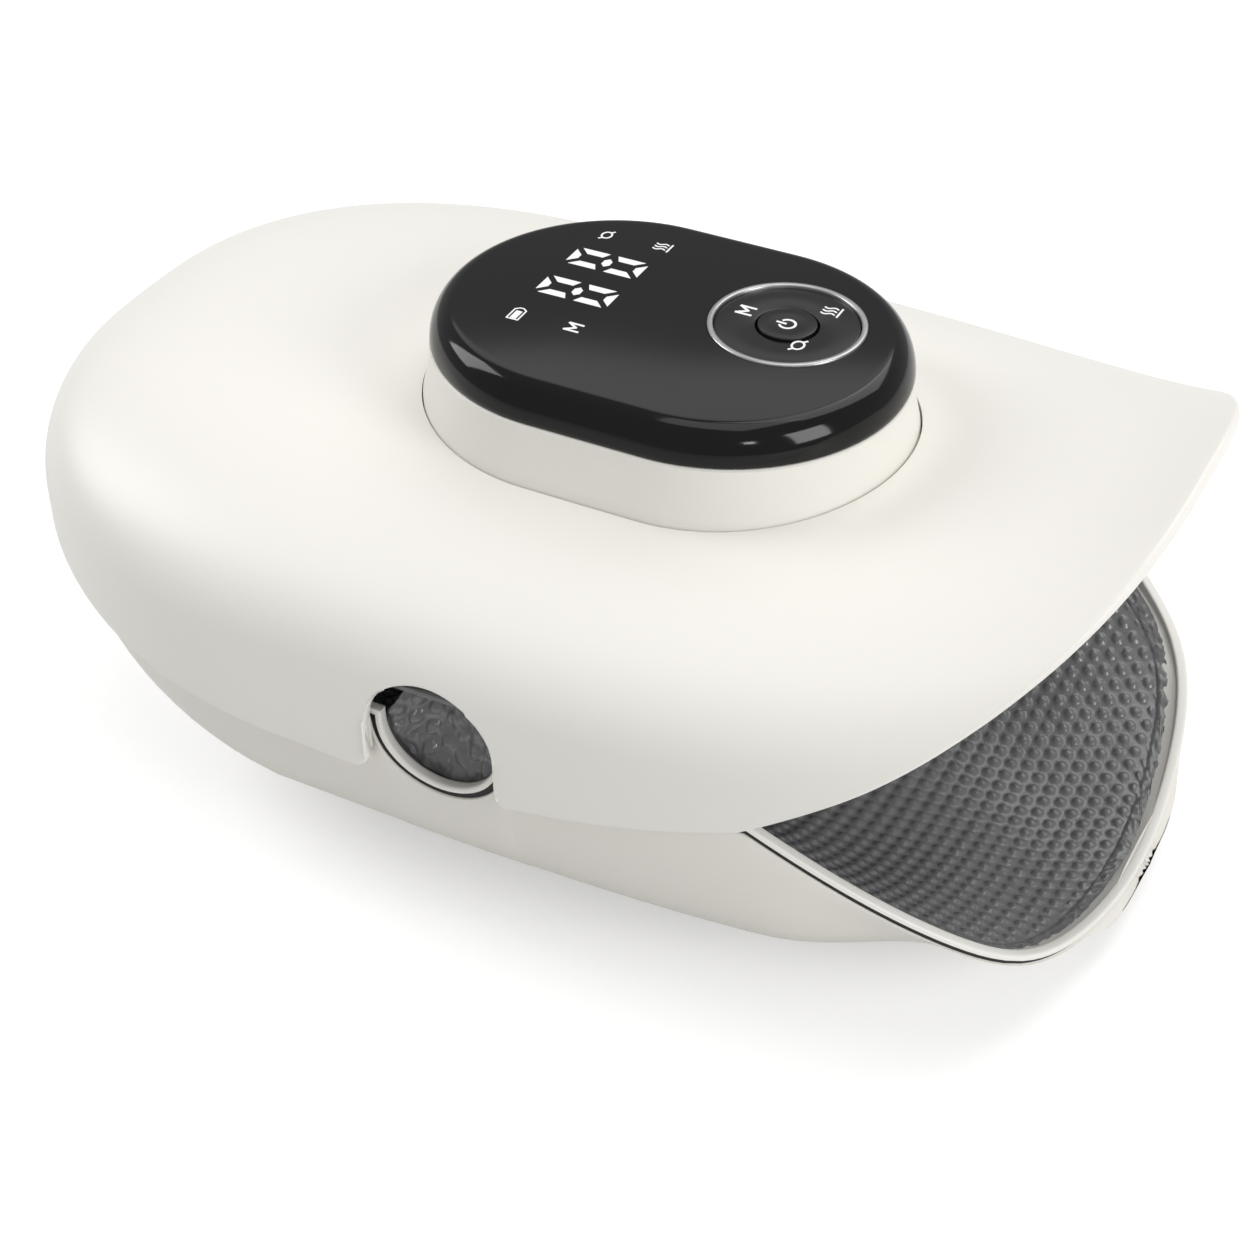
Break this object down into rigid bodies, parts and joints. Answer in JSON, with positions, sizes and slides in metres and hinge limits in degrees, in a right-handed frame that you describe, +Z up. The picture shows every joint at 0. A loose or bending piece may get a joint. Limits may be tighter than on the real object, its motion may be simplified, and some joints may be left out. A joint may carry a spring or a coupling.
{
  "type": "hand massager",
  "caption": "Clam-shaped hand massager with a touch console, padded air cushions above and below the hand, and a thumb hole in each side.",
  "frame": {"origin": "on the floor under the middle of the bounding box", "axes": "+X from the closed nose to the open mouth, +Y to the far side, +Z up"},
  "size_m": [0.254, 0.17, 0.1134],
  "materials": {
    "ivory_plastic": "satin moulded plastic",
    "ivory_lower_plastic": "satin moulded plastic, slightly warmer",
    "gloss_black_plastic": "polished",
    "black_plastic": "fine textured",
    "silver_plated_plastic": "satin silver plating",
    "soft_rubber": "matt",
    "grey_pad_skin": "smooth coated skin with raised dots",
    "airbag_film": "thin welded film",
    "heating_film": "printed film",
    "circuit_board": "solder mask",
    "steel": "plain",
    "cell_wrap": "shrink wrap",
    "silicone_hose": "translucent"
  },
  "bodies": {
    "housing": {"upper_shell": "ivory_plastic", "lower_shell": "ivory_lower_plastic", "rim_trim": "ivory_plastic", "rim_gasket": "soft_rubber", "upper_liner": "black_plastic", "lower_liner": "black_plastic", "upper_airbag": "airbag_film", "lower_airbag": "airbag_film", "console_wall": "ivory_plastic", "touch_panel": "gloss_black_plastic", "bezel_ring": "silver_plated_plastic", "key_membrane": "soft_rubber", "led_display": "black_plastic", "display_board": "circuit_board", "control_board": "circuit_board", "board_ribbon": "black_plastic", "power_switch": "steel", "mode_switch": "steel", "heat_switch": "steel", "air_switch": "steel", "bulkhead": "black_plastic", "pump_motor": "steel", "pump_head": "black_plastic", "pump_cradle": "soft_rubber", "air_manifold": "black_plastic", "pump_hose": "silicone_hose", "upper_bag_hose": "silicone_hose", "lower_bag_hose": "silicone_hose", "valve_hose": "silicone_hose", "valve_body": "steel", "valve_spring": "steel", "battery_tray": "black_plastic", "battery_cell_1": "cell_wrap", "battery_cell_2": "cell_wrap", "charging_port": "steel", "charge_board": "circuit_board", "rubber_foot_1": "soft_rubber", "rubber_foot_2": "soft_rubber", "rubber_foot_3": "soft_rubber", "rubber_foot_4": "soft_rubber", "base_screw_1": "steel", "base_screw_2": "steel", "base_screw_3": "steel", "base_screw_4": "steel"},
    "power_button": {"power_button": "gloss_black_plastic"},
    "key_carrier": {"key_retainer": "black_plastic"},
    "key_ring": {"key_ring": "gloss_black_plastic"},
    "pump_shaft": {"pump_shaft": "steel"},
    "valve_plunger": {"valve_plunger": "steel"},
    "upper_cushion": {"upper_pad": "grey_pad_skin", "upper_heating_film": "heating_film"},
    "lower_cushion": {"lower_pad": "grey_pad_skin", "lower_heating_film": "heating_film"}
  },
  "joints": [
    {"name": "power_button_press", "type": "slide", "parent": "housing", "child": "power_button", "axis": [0, 0, -1], "range_m": [0, 0.0004], "stiffness_N_per_m": 800, "springref_m": -0.0006},
    {"name": "key_ring_rock_front", "type": "hinge", "parent": "housing", "child": "key_carrier", "pos_m": [0.03555, 0.00708, 0.11], "axis": [0, 1, 0], "range_deg": [-0.9, 0.9], "stiffness_Nm_per_rad": 0.8},
    {"name": "key_ring_rock_side", "type": "hinge", "parent": "key_carrier", "child": "key_ring", "pos_m": [0.03555, 0.00708, 0.1101], "axis": [1, 0, 0], "range_deg": [-0.9, 0.9], "stiffness_Nm_per_rad": 0.8},
    {"name": "pump_shaft_spin", "type": "hinge", "parent": "housing", "child": "pump_shaft", "pos_m": [-0.092, -0.011, 0.071], "axis": [0, 1, 0], "continuous": true},
    {"name": "valve_plunger_slide", "type": "slide", "parent": "housing", "child": "valve_plunger", "axis": [0, 0, -1], "range_m": [0, 0.0012], "stiffness_N_per_m": 300, "springref_m": -0.001, "deforming": ["valve_spring"]},
    {"name": "upper_cushion_press", "type": "slide", "parent": "housing", "child": "upper_cushion", "axis": [0, 0, -1], "range_m": [0, 0.0025], "stiffness_N_per_m": 1500, "springref_m": -0.0015, "deforming": ["upper_airbag"]},
    {"name": "lower_cushion_press", "type": "slide", "parent": "housing", "child": "lower_cushion", "axis": [0, 0, 1], "range_m": [0, 0.0025], "stiffness_N_per_m": 1500, "springref_m": -0.0005, "deforming": ["lower_airbag"]}
  ]
}
